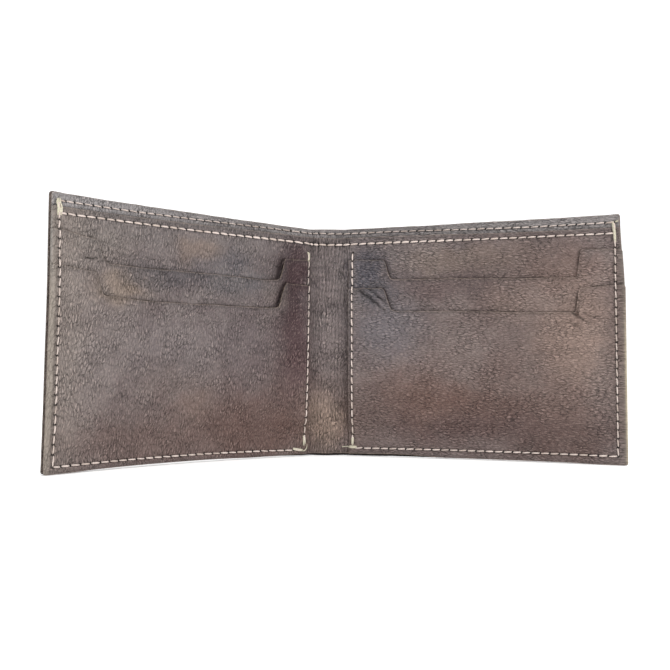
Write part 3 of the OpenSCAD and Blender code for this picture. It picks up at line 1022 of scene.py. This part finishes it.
def make_pocket(side, word, pocket, front, bottom, end, sheet, in_front=None):
    """A card pocket: a sheet from bottom to its cut mouth, finely divided where the mouth slopes.

    Its face is front, pared thin by a smooth step near the mouth; in_front is the pocket that lies on it.
    """
    head_in, foot_in = pocket["inner"][2:]
    head_out, foot_out = pocket["outer"][2:]
    columns = steps((POCKET_EDGE, head_in - 2, 0.6), (head_in - 2, foot_in + 2, 0.22),
                    (foot_in + 2, foot_out - 2, 0.8), (foot_out - 2, head_out + 2, 0.22),
                    (head_out + 2, HALF - 3, 0.6), (HALF - 3, end, 0.3))
    ripple = wrinkles(side, sheet)
    to_bottom = bottom < BOTTOM_SEAM
    lines = [SIDE_LINE, INNER_LINE] + ([BOTTOM_LINE] if to_bottom else [])

    def skived(s, z):
        straight = smooth((s - foot_in) / 2) * smooth((foot_out - s) / 2)
        return front(side, s, z) - 0.3 * straight * (1 - smooth((mouth_edge(pocket, s) - z) / 1.8))

    def low(s):
        corner = corner_drop(s, end) if to_bottom else 0.0
        cut = raised(side, lambda s: bottom + corner, 1.0 if to_bottom else 0.0)
        return cut(s) + 0.1 * noise(s, s * 0, 9, 9, sheet)

    hide(word, side, columns, np.linspace(0, 1, 96),
         low, lambda s: mouth_edge(pocket, s) - corner_drop(s, end),
         skived, lambda s, z: front(side, s, z) - POCKET_T + AIR, inside_leather,
         lambda s, z: ripple(s, z) + seam_dent(s, z, lines), sheet=sheet, gaping=in_front,
         behind=None if in_front is None else lambda s: mouth_edge(in_front, s))


def hole_line(line):
    """Start and end points of the stitches of a seam, from hole to hole."""
    count = round((line["end"] - line["start"]) / line["pitch"])
    holes = np.linspace(line["start"], line["end"], count + 1)
    fixed = np.full(len(holes), line["at"])
    points = np.stack([fixed, holes] if line["upright"] else [holes, fixed], 1)
    return points[:-1], points[1:]


def make_seams(side):
    """All the stitching of one half; a seam through the cover also shows on its outer side.

    Each row of stitches lies on a face, and stands for the CAD's thread whose name starts with word.
    """
    def inside(s, z):
        return card_face(side, s, z)

    outside = level(-COVER_FACE - AIR)

    def under(s, z):
        return upper_front(side, s, z) - 0.35

    def seam(name, line, face, seed, word, over_spine=False, **sizes):
        starts, ends = hole_line(line)
        sign = -1 if face is outside else 1
        piece = stitches(
            name + SIDES[side], side, starts, ends, face, cream_thread, sign, seed=seed, **sizes)
        attach(piece, side, "thread", word, over_spine)

    seam("top_stitches_", TOP_LINE, inside, 101, "top_thread_", over_spine=True, width=0.5)
    seam("top_stitches_outside_", TOP_LINE, outside, 102, "top_thread_")
    seam("divider_stitches_", DIVIDER_LINE, inside, 103, "divider_thread_", over_spine=True, width=0.58)
    seam("side_stitches_", SIDE_LINE, inside, 104, "side_thread_", width=0.47)
    seam("side_stitches_outside_", SIDE_LINE, outside, 105, "side_thread_")
    seam("bottom_stitches_", BOTTOM_LINE, inside, 106, "bottom_thread_")
    seam("bottom_stitches_outside_", BOTTOM_LINE, outside, 107, "bottom_thread_")
    seam("inner_stitches_", INNER_LINE, inside, 108, "inner_thread_", width=0.56)
    seam("pocket_stitches_", HIDDEN_LINE, under, 109, "pocket_thread_", height=0.15)


# Back tacks at the ends of seams: from (s, z), to (s, z), how far it bows, its strands, and their spread
TACKS = {
    LEFT: [
        ((SIDE_SEAM - 0.35, 92.5), (SIDE_SEAM - 0.3, 86.7), 0.0, 5, 1.25),
        ((INNER_SEAM, 84.4), (INNER_SEAM, 80.4), -0.7, 3, 0.7),
        ((INNER_SEAM + 0.1, 8.4), (INNER_SEAM, 5.0), 0.0, 2, 0.45),
        ((16.6, 3.9), (12.8, 3.3), 0.15, 2, 0.45),
    ],
    RIGHT: [
        ((SIDE_SEAM - 0.7, 92.1), (SIDE_SEAM, 83.6), 0.2, 3, 0.7),
        ((SIDE_SEAM + 0.1, 91.8), (HALF - 0.6, 92.2), 0.0, 1, 0.0),
        ((INNER_SEAM, 7.8), (INNER_SEAM, 4.8), 0.0, 3, 0.7),
        ((10.6, 3.9), (13.8, 3.8), 0.0, 3, 0.8),
    ],
}
# Loose thread ends left after the last knot: points (s, height off the leather, z)
TAILS = {
    LEFT: [(13.6, 0.1, 3.1), (12.4, 0.3, 3.0), (11.6, 0.45, 3.7), (10.9, 0.4, 4.6), (10.3, 0.5, 5.3)],
    RIGHT: [(10.9, 0.1, 3.9), (9.8, 0.2, 4.0), (8.7, 0.25, 3.95), (7.6, 0.2, 3.8), (7.0, 0.25, 3.6)],
}


STRAND_RINGS = 13
STRAND_R, TAIL_R = 0.27, 0.2
TACK_LENGTH = 5  # of thread that the finish takes a strand to have


def tube(side, path, radius):
    """Points of a strand along (s, n, z): rings of points that shrink towards its ends."""
    t = np.linspace(0, 1, STRAND_RINGS)
    knots = np.linspace(0, 1, len(path))
    line = np.stack([np.interp(t, knots, path[:, k]) for k in range(3)], -1)
    line[1:-1] = (line[:-2] + 2 * line[1:-1] + line[2:]) / 4
    ahead = np.gradient(line, axis=0)
    ahead = ahead / np.linalg.norm(ahead, axis=1, keepdims=True)
    side_way = np.cross(ahead, [0.0, 1.0, 0.0])
    side_way = side_way / np.linalg.norm(side_way, axis=1, keepdims=True)
    up_way = np.cross(side_way, ahead)
    thick = radius * np.clip(1.15 * np.sin(math.pi * np.clip(t, 0.06, 0.94)) ** 0.4, 0.2, 1.0)
    ring = np.arange(RING) * 2 * math.pi / RING
    around = np.cos(ring)[None, :, None] * side_way[:, None] + np.sin(ring)[None, :, None] * up_way[:, None]
    body = line[:, None] + thick[:, None, None] * around
    return place(side, body[..., 0], body[..., 1], body[..., 2])


def make_tacks(side):
    """The bundles of doubled thread that lock the seams' ends, strand by strand, with the loose ends."""
    rng = np.random.default_rng(201 + side)
    t = np.linspace(0, 1, 7)
    strands = []
    for start, end, bow, count, spread in TACKS[side]:
        for shift in np.linspace(-0.5, 0.5, count):
            begin = np.array(start) + rng.uniform(-0.16, 0.16, 2)
            finish = np.array(end) + rng.uniform(-0.16, 0.16, 2)
            line = begin + (finish - begin) * t[:, None]
            run = (finish - begin) / np.linalg.norm(finish - begin)
            across = np.array([-run[1], run[0]])
            sideways = shift * spread * (0.85 + 0.25 * rng.uniform(-1, 1)) + bow * np.sin(math.pi * t)
            line = line + across * sideways[:, None]
            ground = card_face(side, line[:, 0], line[:, 1])
            high = 0.12 + 0.3 * (1 - abs(2 * shift)) + 0.08 * rng.uniform(-1, 1)
            ground = ground + high * np.sin(math.pi * t) ** 0.5 - 0.2 * np.abs(2 * t - 1) ** 4
            strands.append(tube(side, np.stack([line[:, 0], ground, line[:, 1]], 1), STRAND_R))
    tail = np.array(TAILS[side])
    tail[:, 1] += card_face(side, tail[:, 0], tail[:, 2])
    strands.append(tube(side, tail, TAIL_R))
    points = np.stack(strands)
    ids = np.arange(points.size // 3).reshape(points.shape[:-1])
    quads = skin(ids)[:, [0, 3, 2, 1]]
    caps = np.stack([ids[:, 0, ::-1], ids[:, -1]], 1).reshape(-1, RING)
    if side == LEFT:
        quads, caps = quads[:, ::-1], caps[:, ::-1]
    distance = TACK_LENGTH * np.linspace(0, 1, STRAND_RINGS)[:, None]
    turn = np.arange(RING) * 2 * math.pi / RING
    lay = np.broadcast_arrays(ids, distance, np.cos(turn), np.sin(turn))[1:]
    mark = np.broadcast_to(rng.uniform(0, 0.7, (len(points), 1, 1)), ids.shape)
    layers = {"lay": np.stack(lay, -1).reshape(-1, 3), "mark": mark.ravel()}
    name = "tack_bundles_" + SIDES[side]
    piece = build(name, points.reshape(-1, 3), quads, layers, tack_thread, caps.tolist())
    attach(piece, side, "thread", "tacks_")


def make_half(side):
    """All pieces of one half, which reach to the spine's middle."""
    make_cover(side)
    make_lining(side)
    make_divider_lining(side)
    make_divider(side)
    upper, lower = UPPER_POCKET[side], LOWER_POCKET[side]
    upper_over, lower_over = OVERHANG[side]
    make_pocket(side, "upper_pocket_", upper, upper_front, HIDDEN_EDGE, HALF + upper_over, 4, lower)
    make_pocket(side, "lower_pocket_", lower, lower_front, 0.15, HALF + lower_over, 5)
    make_seams(side)
    make_tacks(side)


make_camera()
make_floor()
make_light()
for half in SIDES:
    make_half(half)
